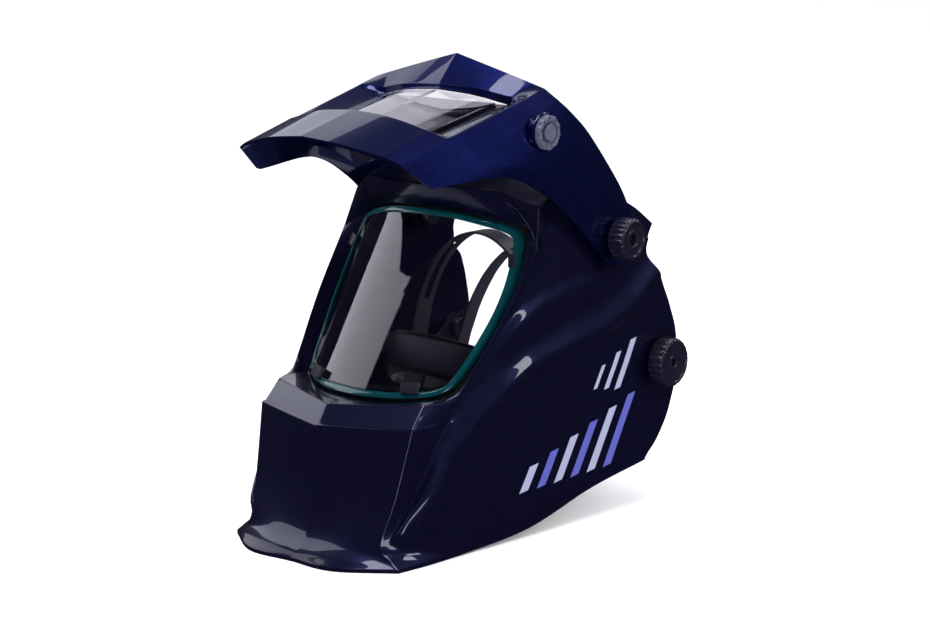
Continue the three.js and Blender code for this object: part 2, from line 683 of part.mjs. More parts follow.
function addCradle() {
  const rearBand = band(headLoop(89, 170, 24, 3.1), 18, 2, false);
  addPair('rear_band', rearBand, STRAP);
  add('crown_strap_rear', archBand(arch(66.6, 134, 20, 76, 128, 24), 16, 2), STRAP);
  const housing = new THREE.ExtrudeGeometry(roundedPlate(56, 40, 12), { depth: 14, bevelEnabled: false });
  housing.rotateX(Math.PI / 2);
  housing.translate(0, 217.2, 44);
  add('ratchet_housing', cut(housing, post(7, 206, 219, 0, 44, 24)), BLACK);
  const nape = new THREE.ExtrudeGeometry(napeOutline(), { depth: 5, bevelEnabled: false });
  nape.rotateX(Math.PI / 2);
  nape.translate(0, 208, 0);
  add('nape_cradle', nape, BLACK);
  const cushion = box(48, 6, 20, [0, 196.4, 15]);
  add('nape_cushion', cushion, SOFT_BLACK);
  const knob = handKnob(19, 12, 20, 3.5);
  knob.rotateZ(Math.PI / 2);
  knob.translate(0, 218.3, 44);
  add('ratchet_knob', knob, BLACK);
  const gear = new THREE.ExtrudeGeometry(ribbedOutline(6, 10), { depth: 8, bevelEnabled: false });
  gear.rotateX(Math.PI / 2);
  gear.translate(0, 215.6, 44);
  add('ratchet_pinion', join(gear, post(3, 215, 218, 0, 44, 20)), STEEL);
}

function roundedPlate(width, height, radius) {
  const [w, h] = [width / 2, height / 2];
  const shape = new THREE.Shape();
  shape.moveTo(-w + radius, -h);
  shape.lineTo(w - radius, -h);
  shape.absarc(w - radius, -h + radius, radius, -Math.PI / 2, 0, false);
  shape.absarc(w - radius, h - radius, radius, 0, Math.PI / 2, false);
  shape.absarc(-w + radius, h - radius, radius, Math.PI / 2, Math.PI, false);
  shape.absarc(-w + radius, -h + radius, radius, Math.PI, 1.5 * Math.PI, false);
  return shape;
}

// Outline of the nape cradle: a flat foot that widens up to the ratchet housing.
function napeOutline() {
  const shape = new THREE.Shape();
  shape.moveTo(-12, 0);
  shape.lineTo(12, 0);
  shape.lineTo(32, 12);
  shape.lineTo(32, 23.6);
  shape.lineTo(-32, 23.6);
  shape.lineTo(-32, 12);
  shape.closePath();
  return shape;
}

addShell();
addWindow();
addVisorShell();
addFilter();
addDial();
addPivots();
addHeadgear();
addCradle();

export default part;
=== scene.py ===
"""Looks of a flip-front welding helmet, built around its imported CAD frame.

Every piece is a surface worked out with numpy in millimetres, in the helmet's design
frame (+Z up, the face looks along -Y, +X is the wearer's left), and is moved into the
CAD frame, in metres, as it is made.
"""

import json
import logging
import math
from dataclasses import dataclass, field
from enum import Enum
from typing import Callable, Optional, Sequence

import bmesh
import bpy
import numpy as np
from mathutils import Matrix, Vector

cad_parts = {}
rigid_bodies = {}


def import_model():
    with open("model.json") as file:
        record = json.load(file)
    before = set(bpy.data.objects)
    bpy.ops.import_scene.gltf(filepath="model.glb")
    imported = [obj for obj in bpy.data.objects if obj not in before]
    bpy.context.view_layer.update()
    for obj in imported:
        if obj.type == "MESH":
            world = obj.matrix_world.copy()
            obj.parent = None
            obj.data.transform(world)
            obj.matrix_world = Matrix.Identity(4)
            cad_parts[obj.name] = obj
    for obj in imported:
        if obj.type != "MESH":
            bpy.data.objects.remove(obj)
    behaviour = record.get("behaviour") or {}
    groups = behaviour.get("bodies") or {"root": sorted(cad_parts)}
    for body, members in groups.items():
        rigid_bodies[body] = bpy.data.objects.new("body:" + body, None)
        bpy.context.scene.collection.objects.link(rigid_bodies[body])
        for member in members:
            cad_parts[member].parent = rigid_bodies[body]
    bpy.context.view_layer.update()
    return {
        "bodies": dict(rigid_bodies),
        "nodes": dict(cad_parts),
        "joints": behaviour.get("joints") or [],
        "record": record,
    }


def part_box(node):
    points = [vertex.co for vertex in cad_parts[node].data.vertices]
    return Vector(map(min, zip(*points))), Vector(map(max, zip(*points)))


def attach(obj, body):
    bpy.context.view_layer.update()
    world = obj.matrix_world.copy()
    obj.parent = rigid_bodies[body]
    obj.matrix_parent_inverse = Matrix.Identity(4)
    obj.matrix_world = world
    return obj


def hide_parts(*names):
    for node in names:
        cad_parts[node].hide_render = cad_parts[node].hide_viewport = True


LOG = logging.getLogger("helmet")

MM = 0.001                      # metres in a millimetre
PIVOT_Y, PIVOT_Z = 122.0, 224.5  # axis of the flip visor, design frame
GEAR_Y, GEAR_Z = 178.0, 118.0    # axis of the headgear
OPEN_ANGLE = 49.5                # degrees from closed to the open rest pose
WALL = 2.6                       # moulded wall of both shells
DIAL_Y, DIAL_Z = 1.0, 221.0      # shade dial on the closed visor
COAT_ROUGHNESS = 0.03
MOTTLE_MM = 45                   # size of the dull patches on a moulded face
SENSOR_MM = 36.0

Array = np.ndarray


# ------------------------------------------------------------------ finishes


class Grain(Enum):
    """Surface patterns that a finish can carry."""

    MOULDED = "fine spark-eroded mould texture"
    FLAKE = "metal flake under a clear coat"
    WEAVE = "crossed threads"
    BRUSHED = "long parallel scratches"
    POLISHED = "faint waviness of a polished mould"


def linear(colour: str) -> tuple[float, float, float, float]:
    """Turns an sRGB hex colour into linear RGBA.

    Args:
        colour: six hex digits after a hash.

    Returns:
        Linear red, green, blue and an alpha of one.
    """
    parts = [int(colour[i:i + 2], 16) / 255 for i in (1, 3, 5)]
    values = [c / 12.92 if c <= 0.04045 else ((c + 0.055) / 1.055) ** 2.4 for c in parts]
    return (values[0], values[1], values[2], 1.0)


def add_node(tree: bpy.types.NodeTree, kind: str, values: Optional[dict] = None,
             links: Optional[dict] = None, **settings: object) -> bpy.types.Node:
    """Adds a shader node with its settings, socket values and incoming links.

    Args:
        tree: the material's node tree.
        kind: the node's Blender type name.
        values: input socket name or index to its constant.
        links: input socket name or index to the output socket that feeds it.
        **settings: properties set on the node itself.

    Returns:
        The new node.
    """
    node = tree.nodes.new(kind)
    for key, value in settings.items():
        setattr(node, key, value)
    for key, value in (values or {}).items():
        node.inputs[key].default_value = value
    for key, source in (links or {}).items():
        tree.links.new(source, node.inputs[key])
    return node


def linked(name: str, data: bpy.types.ID) -> bpy.types.Object:
    """Makes an object of some data and puts it in the scene."""
    thing = bpy.data.objects.new(name, data)
    bpy.context.collection.objects.link(thing)
    return thing


@dataclass(frozen=True)
class Finish:
    """One material: what it is made of and how its surface was made."""

    name: str
    colour: str
    second: str                  # colour of the flakes, threads or mottling
    roughness: float
    grain: Grain
    grain_mm: float              # size of one flake, thread or pit
    depth_mm: float              # height of the pattern
    amount: float = 0.5          # how far the second colour is mixed in
    metallic: float = 0.0
    ior: float = 1.5
    coat: float = 0.0
    transmission: float = 0.0
    sheen: float = 0.0
    spread: float = 0.08         # how much the roughness varies over the piece

    def pattern(self, tree: bpy.types.NodeTree, place: bpy.types.NodeSocket) -> bpy.types.NodeSocket:
        """Makes the grey pattern of this grain.

        Args:
            tree: the material's node tree.
            place: object coordinates in metres.

        Returns:
            The socket with the pattern between 0 and 1.
        """
        scale = 1 / (self.grain_mm * MM)
        if self.grain is Grain.FLAKE:
            cells = add_node(tree, "ShaderNodeTexVoronoi", {"Scale": scale}, {"Vector": place})
            split = add_node(tree, "ShaderNodeSeparateColor", links={"Color": cells.outputs["Color"]})
            return split.outputs["Red"]
        if self.grain is Grain.WEAVE:
            warp = add_node(tree, "ShaderNodeTexWave", {"Scale": scale / 3.2, "Distortion": 0.4},
                            {"Vector": place}, bands_direction="X")
            weft = add_node(tree, "ShaderNodeTexWave", {"Scale": scale / 3.2, "Distortion": 0.4},
                            {"Vector": place}, bands_direction="Z")
            both = add_node(tree, "ShaderNodeMath",
                            links={0: warp.outputs["Fac"], 1: weft.outputs["Fac"]}, operation="MULTIPLY")
            return both.outputs[0]
        stretch = (0.03, 1, 1) if self.grain is Grain.BRUSHED else (1, 1, 1)
        turned = add_node(tree, "ShaderNodeMapping", {"Scale": stretch}, {"Vector": place})
        detail = 1 if self.grain is Grain.POLISHED else 5
        noise = add_node(tree, "ShaderNodeTexNoise", {"Scale": scale, "Detail": detail},
                         {"Vector": turned.outputs[0]})
        return noise.outputs["Fac"]

    def build(self) -> bpy.types.Material:
        """Builds the node material.

        Returns:
            The finished material.
        """
        material = bpy.data.materials.new(self.name)
        material.use_nodes = True
        tree = material.node_tree
        shader = tree.nodes["Principled BSDF"]
        place = add_node(tree, "ShaderNodeTexCoord").outputs["Object"]
        grey = self.pattern(tree, place)
        # Handling marks and dust dull a moulded face in patches.
        patches = add_node(tree, "ShaderNodeTexNoise", {"Scale": 1 / (MOTTLE_MM * MM), "Detail": 3},
                           {"Vector": place})
        share = add_node(tree, "ShaderNodeMapRange", {"To Min": 0.0, "To Max": self.amount},
                         {"Value": grey})
        mixed = add_node(tree, "ShaderNodeMix", {6: linear(self.colour), 7: linear(self.second)},
                         {0: share.outputs[0]}, data_type="RGBA")
        tree.links.new(mixed.outputs[2], shader.inputs["Base Color"])
        least, most = max(0.01, self.roughness - self.spread), self.roughness + self.spread
        rough = add_node(tree, "ShaderNodeMapRange", {"To Min": least, "To Max": most},
                         {"Value": patches.outputs["Fac"]})
        tree.links.new(rough.outputs[0], shader.inputs["Roughness"])
        bump = add_node(tree, "ShaderNodeBump", {"Strength": 1.0, "Distance": self.depth_mm * MM},
                        {"Height": grey})
        tree.links.new(bump.outputs[0], shader.inputs["Normal"])
        for socket, value in (("Metallic", self.metallic), ("IOR", self.ior), ("Coat Weight", self.coat),
                              ("Coat Roughness", COAT_ROUGHNESS), ("Sheen Weight", self.sheen),
                              ("Transmission Weight", self.transmission)):
            shader.inputs[socket].default_value = value
        return material


FINISHES = {finish.name: finish for finish in (
    # Navy metal-flake paint under lacquer: near black in shade, indigo where light grazes it.
    Finish("navy_flake_lacquer", "#09081f", "#242262", 0.36, Grain.FLAKE, 0.45, 0.0, 0.5,
           metallic=0.72, coat=1.0, spread=0.05),
    # Painted light: a lighter, cooler blue copy of the navy paint, used on the flip visor to stand in for
    # the light its upper faces catch.
    Finish("navy_lacquer_painted_light", "#070a34", "#1a3092", 0.38, Grain.FLAKE, 0.5, 0.0, 0.5,
           metallic=0.9, coat=1.0, spread=0.05),
    # Tinted polycarbonate, injection moulded: the thick edge of the clear pane glows teal.
    Finish("tinted_polycarbonate", "#034650", "#15868e", 0.1, Grain.POLISHED, 14, 0.01, 0.5,
           ior=1.58, transmission=0.55, coat=0.5),
    # Clear polycarbonate sheet: two faces mirror the studio, almost no colour.
    Finish("clear_polycarbonate", "#e9e4ee", "#f6f4f8", 0.02, Grain.POLISHED, 40, 0.01, 0.5,
           ior=1.52, transmission=1.0, spread=0.012),
    # Coated filter glass: dark, mirror smooth, with a trace of brown-violet.
    Finish("filter_glass", "#140d14", "#2a1c26", 0.05, Grain.POLISHED, 30, 0.004, 0.5,
           ior=1.52, coat=1.0, spread=0.02),
    # Glass-filled nylon, spark-eroded mould: satin blue-black that catches soft edges.
    Finish("satin_nylon", "#0e0c1c", "#1d1b30", 0.32, Grain.MOULDED, 0.5, 0.01, 0.6, coat=0.25),
    # Grey acetal of the shade dial.
    Finish("grey_acetal", "#3f4054", "#6a6c82", 0.36, Grain.MOULDED, 0.6, 0.01, 0.6),
    # Polypropylene strap: semi-matt charcoal violet.
    Finish("strap_polypropylene", "#37323f", "#524b5b", 0.42, Grain.MOULDED, 0.8, 0.015, 0.6),
    # Moulded nitrile seals and washers.
    Finish("nitrile_rubber", "#0d0d0f", "#1b1b1e", 0.75, Grain.MOULDED, 0.4, 0.02, 0.6),
    # Knitted cover over foam, drawn at 1.2 mm threads so that the weave shows.
    Finish("knit_over_foam", "#0b0b0d", "#2b2b30", 0.92, Grain.WEAVE, 1.2, 0.25, 0.7, sheen=0.4),
    # Turned zinc-plated steel.
    Finish("turned_steel", "#8d9097", "#c3c6cc", 0.28, Grain.BRUSHED, 0.3, 0.006, 0.6, metallic=1.0),
    # Screen-printed ink on the shell sides.
    Finish("pale_ink", "#9fa1bd", "#8d8fae", 0.3, Grain.MOULDED, 0.7, 0.004, 0.5, coat=0.6),
    Finish("periwinkle_ink", "#5559ad", "#4b4f9e", 0.3, Grain.MOULDED, 0.7, 0.004, 0.5, coat=0.6),
    Finish("black_ink", "#08080c", "#15151b", 0.5, Grain.MOULDED, 0.5, 0.004, 0.5),
)}


class Palette:
    """Builds each material once, when a piece first asks for it."""

    def __init__(self) -> None:
        """Starts with no material built."""
        self.made: dict[str, bpy.types.Material] = {}

    def get(self, name: str) -> bpy.types.Material:
        """Gives a material by the name of its finish."""
        if name not in self.made:
            self.made[name] = FINISHES[name].build()
        return self.made[name]


# ------------------------------------------------------------------ geometry


def opened(points: Array) -> Array:
    """Swings points of the closed visor to the open rest pose.

    A point turns about the flip axis by minus the opening angle:
    y' = y cos + z sin and z' = z cos - y sin, measured from the pivot.
    """
    turn = math.radians(OPEN_ANGLE)
    y = points[..., 1] - PIVOT_Y
    z = points[..., 2] - PIVOT_Z
    out = points.copy()
    out[..., 1] = PIVOT_Y + y * math.cos(turn) + z * math.sin(turn)
    out[..., 2] = PIVOT_Z + z * math.cos(turn) - y * math.sin(turn)
    return out


def flipped(points: Array) -> Array:
    """Mirrors points across the middle plane."""
    return points * np.array([-1.0, 1.0, 1.0])


def rearward(points: Array) -> Array:
    """Turns a shape that faces +X so that it faces +Y, by swapping x and y."""
    return points[..., [1, 0, 2]]


@dataclass(frozen=True)
class RibNet:
    """Right half of a mirrored surface, drawn as ribs that each hold the same rows."""

    ribs: Sequence[Sequence[Sequence[float]]]
    row_folds: Sequence[int]
    rib_folds: Sequence[int]

    @staticmethod
    def curve(points: Array, at: Array, folds: Sequence[int]) -> Array:
        """Interpolates along the first axis, smooth except at the folds.

        Between two knots the value is a cubic with the knots' slopes. A smooth knot's slope is
        half the step between its neighbours, and a fold uses the step on its own side.

        Args:
            points: knots along the first axis.
            at: knot numbers with fractions.
            folds: knots where the slope may jump.

        Returns:
            One value for each entry of at, along the first axis.
        """
        last = len(points) - 1
        step = np.diff(points, axis=0)
        leave = np.concatenate([step, step[-1:]])
        arrive = np.concatenate([step[:1], step])
        smooth = np.array([k not in folds and 0 < k < last for k in range(last + 1)])
        mean = (leave + arrive) / 2
        leave[smooth] = mean[smooth]
        arrive[smooth] = mean[smooth]
        i = np.clip(np.floor(at).astype(int), 0, last - 1)
        t = (at - i).reshape((-1,) + (1,) * (points.ndim - 1))
        return ((2 * t ** 3 - 3 * t ** 2 + 1) * points[i] + (t ** 3 - 2 * t ** 2 + t) * leave[i]
                + (3 * t ** 2 - 2 * t ** 3) * points[i + 1] + (t ** 3 - t ** 2) * arrive[i + 1])

    def grid(self, rows: Array, ribs: Array) -> Array:
        """Gives surface points for row numbers and signed rib numbers (negative is mirrored)."""
        knots = np.array(self.ribs, float)
        along = self.curve(knots.transpose(1, 0, 2), rows, self.row_folds)
        across = self.curve(along.transpose(1, 0, 2), np.abs(ribs), self.rib_folds)
        points = across.transpose(1, 0, 2)
        points[..., 0] *= np.where(ribs < 0, -1.0, 1.0)[None, :]
        return points


def spans(counts: Sequence[int], folds: Sequence[int]) -> Array:
    """Cuts each span between two whole numbers into steps, with a fine step beside each fold.

    Args:
        counts: steps of each span, in order.
        folds: whole numbers where the surface creases.

    Returns:
        Ascending numbers from zero to the count of spans.
    """
    pieces = []
    for k, count in enumerate(counts):
        steps = np.arange(count) / count
        edge = 0.22 / count
        beside = [edge] * (k in folds) + [1 - edge] * (k + 1 in folds)
        pieces.append(k + np.sort(np.concatenate([steps, beside])))
    return np.concatenate(pieces + [np.array([float(len(counts))])])


def both_sides(half: Array) -> Array:
    """Mirrors ascending numbers from zero into negative to positive."""
    return np.concatenate([-half[:0:-1], half])


def filleted(points: Array, rows: Array, ribs: Array, net: RibNet) -> Array:
    """Rounds only the creases: a fold line becomes a quarter, half, quarter mean of three lines."""
    out = points.copy()
    r = [k for k in range(1, len(rows) - 1) if rows[k] in net.row_folds]
    out[r] = (out[[k - 1 for k in r]] + 2 * out[r] + out[[k + 1 for k in r]]) / 4
    c = [k for k in range(1, len(ribs) - 1) if abs(ribs[k]) in net.rib_folds]
    out[:, c] = (out[:, [k - 1 for k in c]] + 2 * out[:, c] + out[:, [k + 1 for k in c]]) / 4
    return out


def grid_normals(points: Array) -> Array:
    """Unit normals of a grid: the cross product of its column step and its row step."""
    across = np.gradient(points, axis=1)
    down = np.gradient(points, axis=0)
    normal = np.cross(across, down)
    return normal / np.maximum(np.linalg.norm(normal, axis=2, keepdims=True), 1e-9)


def wall_faces(solid: Array) -> Array:
    """Quads of a wall between an outer and an inner copy of a grid.

    Each solid cell gives an outer quad and a reversed inner one, and each side of a cell that
    has no solid neighbour gives a rim quad.

    Args:
        solid: True for each grid cell that is material.

    Returns:
        Quads as four vertex numbers each.
    """
    rows, cols = solid.shape
    ids = np.arange((rows + 1) * (cols + 1)).reshape(rows + 1, cols + 1)
    a, b, c, d = ids[:-1, :-1], ids[:-1, 1:], ids[1:, 1:], ids[1:, :-1]
    inner = ids.size
    quads = [np.stack([a, b, c, d], -1)[solid], np.stack([d, c, b, a], -1)[solid] + inner]
    padded = np.pad(solid, 1)
    sides = ((padded[:-2, 1:-1], a, b), (padded[2:, 1:-1], c, d),
             (padded[1:-1, :-2], d, a), (padded[1:-1, 2:], b, c))
    for neighbour, start, end in sides:
        open_side = solid & ~neighbour
        s, e = start[open_side], end[open_side]
        quads.append(np.stack([e, s, s + inner, e + inner], -1))
    return np.concatenate(quads)


def tube_faces(stations: int, around: int, closed: bool) -> Array:
    """Quads that join rings of points, and wrap round in both ways where the path is closed."""
    count = stations if closed else stations - 1
    k = np.arange(count)[:, None]
    s = np.arange(around)[None, :]
    n, t = (k + 1) % stations, (s + 1) % around
    ring = np.broadcast_to
    shape = (count, around)
    return np.stack([ring(k * around + s, shape), ring(k * around + t, shape), ring(n * around + t, shape),
                     ring(n * around + s, shape)], -1).reshape(-1, 4)


@dataclass
class Workshop:
    """Turns point arrays into Blender pieces and attaches them to the frame's bodies."""

    frame: dict
    palette: Palette = field(default_factory=Palette)
    made: int = 0

    def origin(self) -> Array:
        """Design-frame point that is the CAD origin, found from the flip joint."""
        joint = next(j for j in self.frame["record"]["behaviour"]["joints"] if j["name"] == "visor_flip")
        return np.array([0.0, PIVOT_Y - joint["pos_m"][1] / MM, PIVOT_Z - joint["pos_m"][2] / MM])

    def metres(self, points: Array) -> list[list[float]]:
        """Design-frame points in millimetres as CAD-frame rows in metres."""
        return ((points.reshape(-1, 3) - self.origin()) * MM).tolist()

    def mesh(self, name: str, points: Array, faces: Sequence, finish: str, bevel: float = 0.0,
             crease: float = 35.0) -> bpy.types.Object:
        """Makes one piece from points in millimetres.

        Args:
            name: the piece's name.
            points: vertex places in the design frame.
            faces: vertex numbers of each face.
            finish: the finish's name.
            bevel: rounding of sharp edges in millimetres, 0 for none.
            crease: angle in degrees above which an edge stays sharp.

        Returns:
            The new object, at the origin.
        """
        data = bpy.data.meshes.new(name)
        data.from_pydata(self.metres(points), [], [list(f) for f in faces])
        return self.dress(linked(name, data), finish, bevel, crease, outward=True)

    def dress(self, piece: bpy.types.Object, finish: str, bevel: float, crease: float,
              outward: bool) -> bpy.types.Object:
        """Cleans a piece's mesh, rounds its edges and gives it its material."""
        data = piece.data
        work = bmesh.new()
        work.from_mesh(data)
        bmesh.ops.remove_doubles(work, verts=work.verts, dist=1e-6)
        loose = [v for v in work.verts if not v.link_faces]
        bmesh.ops.delete(work, geom=loose, context="VERTS")
        if outward:
            bmesh.ops.recalc_face_normals(work, faces=work.faces)
        work.to_mesh(data)
        work.free()
        data.materials.clear()
        data.materials.append(self.palette.get(finish))
        data.shade_smooth()
        if bevel:
            modifier = piece.modifiers.new("rounded_edges", "BEVEL")
            modifier.width = bevel * MM
            modifier.segments = 2
            modifier.limit_method = "ANGLE"
            modifier.angle_limit = math.radians(crease)
            modifier.harden_normals = False
            weigh = piece.modifiers.new("flat_faces_first", "WEIGHTED_NORMAL")
            weigh.weight = 50
        else:
            data.set_sharp_from_angle(angle=math.radians(crease))
        return piece

    def softened(self, node: str, finish: str, bevel: float) -> None:
        """Copies a CAD node and rounds its edges; flat faces are merged first."""
        source = self.frame["nodes"][node]
        data = source.data.copy()
        piece = linked(f"{node}_finished", data)
        work = bmesh.new()
        work.from_mesh(data)
        bmesh.ops.remove_doubles(work, verts=work.verts, dist=2e-6)
        bmesh.ops.dissolve_limit(work, angle_limit=math.radians(2), verts=work.verts, edges=work.edges)
        work.to_mesh(data)
        work.free()
        self.dress(piece, finish, bevel, 30.0, outward=False)
        self.join(piece, self.body_of(node), node)

    def body_of(self, node: str) -> str:
        """Name of the body that a CAD node belongs to."""
        bodies = self.frame["record"]["behaviour"]["bodies"]
        return next(body for body, nodes in bodies.items() if node in nodes)

    def join(self, piece: bpy.types.Object, body: str, *nodes: str) -> None:
        """Makes a piece ride a body and hides the CAD nodes it stands for."""
        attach(piece, body)
        if nodes:
            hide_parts(*nodes)
        self.made += 1
        LOG.info("piece %s rides %s", piece.name, body)

    def paint(self, node: str, finish: str) -> None:
        """Gives a carried CAD node its material."""
        data = self.frame["nodes"][node].data
        data.materials.clear()
        data.materials.append(self.palette.get(finish))

    def turned(self, name: str, profile: Sequence[Sequence[float]], centre: Sequence[float], finish: str,
               ribs: int = 0, rib_depth: float = 0.0, steps: int = 96,
               move: Optional[Callable[[Array], Array]] = None) -> bpy.types.Object:
        """Turns a profile about the X axis, with optional grip ribs.

        A point of the profile at radius r and place x goes to (x, y + r cos a, z + r sin a). Where the
        profile says so, r is cut by rib_depth times a rounded wave of the given number of ribs.

        Args:
            name: the piece's name.
            profile: rows of place along X, radius and rib share from 0 to 1; ends on the axis.
            centre: x, y, z of the foot of the profile.
            finish: the finish's name.
            ribs: number of ribs round the rim.
            rib_depth: depth of the grooves between them.
            steps: points round the axis.
            move: a last change of place, such as opened.

        Returns:
            The new object.
        """
        rows = np.array(profile, float)
        angle = np.arange(steps) * 2 * math.pi / steps
        wave = (0.5 - 0.5 * np.cos(angle * ribs)) ** 2 if ribs else np.zeros(steps)
        radius = rows[:, 1, None] - rib_depth * rows[:, 2, None] * wave[None, :]
        x = np.broadcast_to(rows[:, 0, None], radius.shape)
        ring = np.stack([x, radius * np.cos(angle), radius * np.sin(angle)], -1)
        points = ring + np.array(centre, float)
        if move:
            points = move(points)
        faces = tube_faces(len(rows), steps, False)
        return self.mesh(name, points, faces, finish, crease=32)

    def swept(self, name: str, path: Array, up: Array, width: float, thickness: float, finish: str,
              stuffed: bool) -> bpy.types.Object:
        """Sweeps a rounded strap section along a path.

        The section is a superellipse: its two half-axes are the width along up and the thickness
        along the side, and its corners are round. A stuffed strap has a rounder section that thins
        towards both ends of the run.

        Args:
            name: the piece's name.
            path: points of the middle line.
            up: direction of the strap's width at each point.
            width: full width.
            thickness: full thickness.
            finish: the finish's name.
            stuffed: True for a strap of foam.

        Returns:
            The new object.
        """
        run = np.gradient(path, axis=0)
        run /= np.linalg.norm(run, axis=1, keepdims=True)
        side = np.cross(run, up)
        side /= np.linalg.norm(side, axis=1, keepdims=True)
        tall = np.cross(side, run)
        around = 28
        angle = np.arange(around) * 2 * math.pi / around
        wide_power, thin_power = (0.35, 0.9) if stuffed else (0.3, 0.3)
        wide = np.sign(np.cos(angle)) * np.abs(np.cos(angle)) ** wide_power * width / 2
        thin = np.sign(np.sin(angle)) * np.abs(np.sin(angle)) ** thin_power * thickness / 2
        share = np.linspace(-1, 1, len(path))
        swell = np.clip(1 - np.abs(share) ** 14, 0.25, 1) if stuffed else np.ones(len(path))
        points = (path[:, None] + tall[:, None] * wide[None, :, None]
                  + side[:, None] * (thin[None, :] * swell[:, None])[..., None])
        faces = tube_faces(len(path), around, False).tolist()
        faces.append(list(range(around))[::-1])
        faces.append(list(range((len(path) - 1) * around, len(path) * around)))
        return self.mesh(name, points, faces, finish, crease=50)


# ------------------------------------------------------------------ shell

# Ribs run from the middle to the rear edge; each goes from the chin lip up to the back of the crown.
SHELL = RibNet(
    ribs=[
        [[0, -135.5, 3], [0, -125, 8.5], [0, -116.5, 20], [0, -110, 52], [0, -107, 99.3],
         [0, -102.5, 100.3], [0, -94, 113.5], [0, -64.5, 113.8], [0, -25, 180], [0, 21.2, 252],
         [0, 5, 271], [0, 40, 288], [0, 76, 295], [0, 112, 293], [0, 146, 286]],
        [[42, -135.5, 3], [41, -122.5, 8.5], [38, -114, 20], [39, -103.5, 52], [39, -96, 100.7],
         [39, -92, 101.5], [37.5, -81.5, 116], [40, -56.3, 114.2], [40, -17, 180], [40, 27.2, 248.8],
         [36, 11, 270], [36, 44, 285], [38, 78, 290], [38, 112, 288.5], [38, 144, 282]],
        [[84, -108, 3], [76, -108.5, 9], [67, -109, 18], [72, -97.5, 52], [78, -84.7, 102.4],
         [76.5, -82.5, 103], [75, -68, 118.5], [75.5, -32.5, 119.5], [87.3, 17.7, 185], [82, 46.3, 238.6],
         [68, 26, 268], [66, 52, 276], [68, 82, 278], [69, 114, 276], [68, 142, 272]],
        [[88, -80, 3.5], [82, -92, 9.5], [71, -104, 19], [76.5, -81, 52], [81.5, -51, 103], [82, -49, 105],
         [84.5, -44, 118], [87, -34, 132], [95.5, -1, 176], [99.5, 34, 224], [94, 44, 255], [90, 66, 264],
         [88, 92, 266], [86, 120, 265], [84, 146, 263]],
        [[90, -40, 4], [88, -58, 12], [84, -84, 28], [88, -72, 52], [92, -40, 86], [93, -34, 92],
         [95, -21, 104], [98, -6, 121], [102.5, 11, 164], [101, 48, 214], [98, 60, 240], [95, 80, 251],
         [94, 104, 254], [92, 128, 255], [90, 149, 256]],
        [[97, 30, 10], [97, 26, 18], [98, 22, 32], [100, 24, 56], [102, 34, 88], [102, 37, 94],
         [103, 41, 108], [104, 47, 126], [106, 60, 164], [104, 80, 204], [102, 92, 226], [100, 104, 237],
         [98, 122, 243], [97, 138, 247], [95, 154, 250]],
        [[104, 100, 29], [104.5, 99, 36], [105, 99, 48], [106, 101, 68], [107.5, 105, 92], [107.7, 106, 98],
         [108, 108, 110], [109, 112, 124], [109.5, 120, 154], [107, 130, 186], [105, 137, 206],
         [104, 144, 218], [103, 151, 227], [101, 160, 235], [99, 168, 241]],
        [[110, 164, 40.5], [110.5, 172, 46], [111, 181, 55], [111.5, 192, 71], [112, 200, 91],
         [112, 201, 97], [112, 202.5, 107], [112, 203.5, 119], [111.5, 202, 141], [109.5, 195, 164],
         [108, 188, 180], [107, 179, 193], [106, 172, 206], [104.5, 176, 218], [103, 184, 228]],
    ],
    row_folds=(0, 4, 5, 6, 7, 9, 10, 14),
    rib_folds=(0, 2, 3, 7),
)

# The flip visor in its closed place: ribs from the middle to the end of the side arm.
VISOR = RibNet(
    ribs=[
        [[0, -105, 102.8], [0, -80, 155], [0, -64, 160], [0, -22, 236], [0, -24.5, 239], [0, -28, 269]],
        [[36, -99.5, 103.3], [36, -76.5, 154.3], [35, -60, 160.4], [35, -18, 236.4], [36, -21, 239.4],
         [38, -20.2, 263]],
        [[70, -88.5, 104.8], [70, -66.5, 152.8], [64, -51, 161.5], [64, -9, 237.5], [66, -13.5, 240],
         [73, -12.4, 257.6]],
        [[81.5, -81.5, 105.5], [83, -60.5, 151.5], [83.5, -56, 160], [85.5, -21, 232], [85.7, -18, 238],
         [86, -9.5, 255.5]],
        [[88.7, -50, 112], [91.5, -38, 150], [92.5, -34, 160], [94.5, -6, 230], [94, -3, 238],
         [92, 3, 256.5]],
        [[100, -4, 168], [102, 0, 183], [102, 3, 190], [100.6, 14, 232], [99.5, 15, 242],
         [96.5, 17, 258]],
        [[105, 44, 191], [106, 44, 203], [106.5, 44, 210], [105.5, 44, 236], [104, 44, 246],
         [101, 44, 260]],
        [[109, 96, 200], [109.3, 96, 208], [109.5, 96, 214], [109, 96, 235], [108, 96, 246],
         [106, 96, 257.5]],
        [[110, 128, 203], [110, 138, 210], [110, 143.5, 220], [109.8, 143, 232], [109.5, 137, 242],
         [108.5, 124, 251]],
    ],
    row_folds=(0, 1, 2, 3, 4, 5),
    rib_folds=(0, 2, 3, 4, 8),
)

# Style lines on the side, y and z: the seat of the closed visor and the rounded crest below it.
SEAT_LINE = [[-49, 112], [-33, 134], [-17, 152], [0, 167], [14, 178], [40, 188], [66, 193], [97, 198],
             [140, 206], [170, 216]]
CREST_LINE = [[-84, 28], [-63, 78], [-35, 101], [-3, 123], [26, 138], [70, 149], [113, 157], [150, 171],
              [190, 196]]


